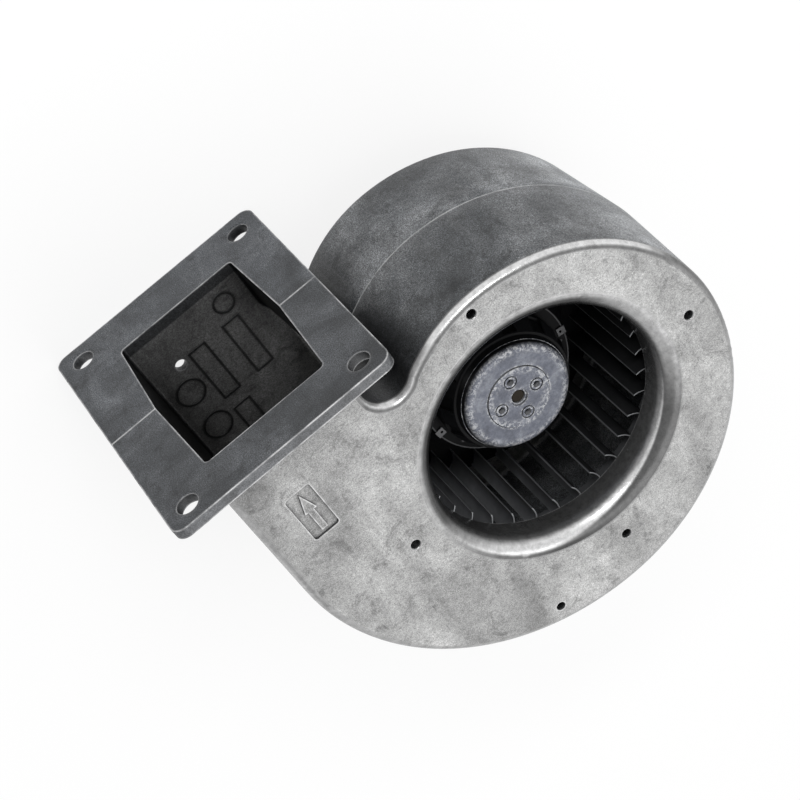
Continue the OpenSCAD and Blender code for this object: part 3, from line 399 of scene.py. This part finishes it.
# Bearings and shaft
# Two ground ball bearings with brass cages, held by a spring and circlips, and the plain ground
# shaft, whose end is dark brown.
ground_steel = metal_finish("ground_steel", (0.68, 0.69, 0.71))
spring_steel = metal_finish("spring_steel", (0.2, 0.2, 0.22))
for ring in ("outer_front", "outer_rear", "inner_front", "inner_rear", "balls"):
    dress("bearing_" + ring, ground_steel)
dress("bearing_cages", metal_finish("brass_sheet", (0.7, 0.5, 0.22)))
for clip in ("bearing_spring", "bearing_circlip", "shaft_circlip"):
    dress(clip, spring_steel)
dress("shaft", metal_finish("shaft_steel", (0.022, 0.019, 0.015)))

# Rotor
# The deep-drawn shell that turns round the stator, mottled silver with a rubbed rim, with the
# hub disc in its end and the sheet ring and cast cage inside.
top_tones = ((0.36, (0.08, 0.086, 0.109)), (0.52, (0.12, 0.129, 0.159)), (0.68, (0.22, 0.232, 0.262)))
rubbed_silver = (0.5, 0.505, 0.515)


def shell_finish(name, side, rim, rub, reach):
    """Mottled silver with painted shade in corners and holes, rubbed in flecks towards a rim; side is the
    tone of its walls.
    """
    finish = Finish(name)
    clouds = finish.noise(110, detail=8, rough=0.7, warp=0.15)
    fine = finish.noise(800, rough=0.75)
    upward = finish.facing("Z", 0.45, 0.8)
    skin = finish.mix(upward, side, finish.ramp(clouds, *top_tones))
    skin = finish.times(skin, finish.ramp(fine, (0.3, 0.6), (0.68, 1.3)), 0.8)
    # Painted shade: corners and holes are darkened.
    skin = finish.times(skin, finish.span(finish.edges(reach, False), 0.35, 0.9, 0.25, 1.0))
    flecks = finish.span(finish.noise(620, detail=6, rough=0.8, warp=0.4), 0.48, 0.56)
    rubbed_edge = finish.span(finish.edges(rub, True), 0.95, 0.6)
    worn = finish.work_out("MAXIMUM", rubbed_edge, finish.from_axis(*rim))
    worn = finish.both(worn, finish.both(flecks, upward))
    skin = finish.mix(finish.both(worn, 0.85), skin, rubbed_silver)
    finish.bump((finish.noise(500, detail=3), 0.25, 0.0003), (finish.noise(1600, detail=2), 0.2, 0.0001))
    return finish.paint(skin, finish.span(clouds, 0.3, 0.7, 0.34, 0.5), Metallic=0.35)


shell_skin = shell_finish(
    "rotor_shell", side=(0.008, 0.0085, 0.0095), rim=(0.0188, 0.0212), rub=0.0012, reach=0.004
)
for part in ("rotor_cup", "rotor_cage"):
    dress(part, shell_skin)
hub_skin = shell_finish(
    "hub_disc", side=(0.36, 0.365, 0.375), rim=(0.0095, 0.013), rub=0.0022, reach=0.0012
)
dress("rotor_hub", hub_skin)
dress("rotor_core", sheet_steel)

# Impeller
# Forward-curved blades of dull coated sheet between a back plate and a front hoop, hung on
# a dark hub cone that is pressed over the shell and riveted to the plate.


def sheet_finish(name, tone, tip, shade_and_light_sides=None):
    """Coated sheet, rubbed on its front edges; the side factors paint shade on one face of the sheet and
    light on the other.
    """
    finish = Finish(name)
    clouds = finish.noise(90, detail=6)
    dull = tuple(0.6 * part for part in tone)
    color = finish.ramp(clouds, (0.3, dull), (0.7, tone))
    if shade_and_light_sides:
        # Painted shade and light: one face of each sheet is darkened, the other brightened.
        color = finish.times(color, finish.swept(0.02, -0.02, *shade_and_light_sides))
    color = finish.mix(finish.facing("Z", 0.85, 0.98), color, tip)
    worn = finish.span(finish.edges(0.0004, True), 0.85, 0.5)
    color = finish.mix(finish.both(worn, 0.12), color, tip)
    finish.bump((finish.noise(900, detail=3), 0.25, 0.0002))
    return finish.paint(color, finish.span(clouds, 0.3, 0.7, 0.45, 0.6), Specular_IOR_Level=0.1)


dark_sheet = sheet_finish("dark_sheet", (0.014, 0.0145, 0.016), (0.005, 0.0052, 0.0056))
for part in ("impeller_hub", "impeller_back_plate"):
    dress(part, dark_sheet)
# The blades' two faces get painted shade on one and painted light on the other.
blade_sheet = sheet_finish("blade_sheet", (0.075, 0.077, 0.081), (0.38, 0.39, 0.4), shade_and_light_sides=(0.28, 2.3))
for part in ("impeller_blades", "impeller_front_ring"):
    dress(part, blade_sheet)
ring_sheet = sheet_finish("ring_sheet", (0.026, 0.0265, 0.028), (0.09, 0.091, 0.094))
for part in ("hub_ring", "hub_rivets"):
    dress(part, ring_sheet)
dress("balance_clips", metal_finish("clip_steel", (0.1, 0.1, 0.103)))

# Studio
# A white table in a light tent that is brighter on one side, a large soft lamp overhead and a
# small one from the outlet side, which lights the bell mouth and the scroll's rounded edge.
floor_reach = 4.0
floor_glow = 0.82
lamp_aim = (0, 0, 0.1)
corners = [(x * floor_reach, y * floor_reach, 0) for x, y in ((-1, -1), (1, -1), (1, 1), (-1, 1))]
floor_mesh = bpy.data.meshes.new("floor")
floor_mesh.from_pydata(corners, [], [(0, 1, 2, 3)])
floor = bpy.data.objects.new("floor", floor_mesh)
bpy.context.collection.objects.link(floor)


def seen_rays(tree):
    """1 for the rays that show the background: camera, mirrored and refracted ones."""
    rays = tree.nodes.new("ShaderNodeLightPath")
    share = rays.outputs["Is Camera Ray"]
    for name in ("Is Glossy Ray", "Is Transmission Ray"):
        step = tree.nodes.new("ShaderNodeMath")
        step.operation = "MAXIMUM"
        tree.links.new(share, step.inputs[0])
        tree.links.new(rays.outputs[name], step.inputs[1])
        share = step.outputs["Value"]
    return share


def blend_shaders(tree, share, below, above):
    step = tree.nodes.new("ShaderNodeMixShader")
    if isinstance(share, float):
        step.inputs["Fac"].default_value = share
    else:
        tree.links.new(share, step.inputs["Fac"])
    tree.links.new(below, step.inputs[1])
    tree.links.new(above, step.inputs[2])
    return step.outputs["Shader"]


floor_paper = bpy.data.materials.new("floor_paper")
floor_paper.use_nodes = True
paper = floor_paper.node_tree
paper.nodes.remove(paper.nodes["Principled BSDF"])
white = paper.nodes.new("ShaderNodeBsdfDiffuse")
white.inputs["Color"].default_value = (0.97, 0.97, 0.97, 1)
glow = paper.nodes.new("ShaderNodeEmission")
glow.inputs["Color"].default_value = (1, 1, 1, 1)
grey = paper.nodes.new("ShaderNodeBsdfDiffuse")
grey.inputs["Color"].default_value = (0.4, 0.4, 0.4, 1)
bright = blend_shaders(paper, floor_glow, white.outputs[0], glow.outputs[0])
sheet = blend_shaders(paper, seen_rays(paper), grey.outputs[0], bright)
paper.links.new(sheet, paper.nodes["Material Output"].inputs["Surface"])
floor_mesh.materials.append(floor_paper)


def soft_lamp(name, place, size, power):
    lamp_data = bpy.data.lights.new(name, "AREA")
    lamp_data.shape = "ELLIPSE"
    lamp_data.size, lamp_data.size_y = size
    lamp_data.energy = power
    lamp = bpy.data.objects.new(name, lamp_data)
    lamp.location = place
    lamp.rotation_euler = (Vector(lamp_aim) - Vector(place)).to_track_quat("-Z", "Y").to_euler()
    bpy.context.collection.objects.link(lamp)


soft_lamp("overhead_lamp", place=(-0.1, 0.4, 1.4), size=(1.2, 1.2), power=6)
soft_lamp("outlet_lamp", place=(-0.1, -1.0, 0.85), size=(0.8, 0.2), power=5)
world = bpy.data.worlds.new("studio")
world.use_nodes = True
sky = world.node_tree
tent = sky.nodes["Background"]
direction = sky.nodes.new("ShaderNodeSeparateXYZ")
sky.links.new(sky.nodes.new("ShaderNodeTexCoord").outputs["Generated"], direction.inputs["Vector"])
cloth = sky.nodes.new("ShaderNodeValToRGB")
cloth_points = cloth.color_ramp.elements
cloth_points.new(0.45)
for point, (position, tone) in zip(cloth_points, ((0.0, 0.24), (0.45, 0.68), (1.0, 0.8))):
    point.position = position
    point.color = (tone, tone, tone, 1)
sky.links.new(direction.outputs["Z"], cloth.inputs["Fac"])
sky.links.new(cloth.outputs["Color"], tent.inputs["Color"])
open_side = sky.nodes.new("ShaderNodeMapRange")
for name, number in {"From Min": -1, "From Max": 1, "To Min": 1.4, "To Max": 0.5}.items():
    open_side.inputs[name].default_value = number
sky.links.new(direction.outputs["X"], open_side.inputs["Value"])
sky.links.new(open_side.outputs["Result"], tent.inputs["Strength"])
backdrop = sky.nodes.new("ShaderNodeBackground")
backdrop.inputs["Color"].default_value = (1, 1, 1, 1)
surround = blend_shaders(sky, seen_rays(sky), tent.outputs[0], backdrop.outputs[0])
sky.links.new(surround, sky.nodes["World Output"].inputs["Surface"])
bpy.context.scene.world = world
bpy.context.scene.view_settings.view_transform = "Standard"
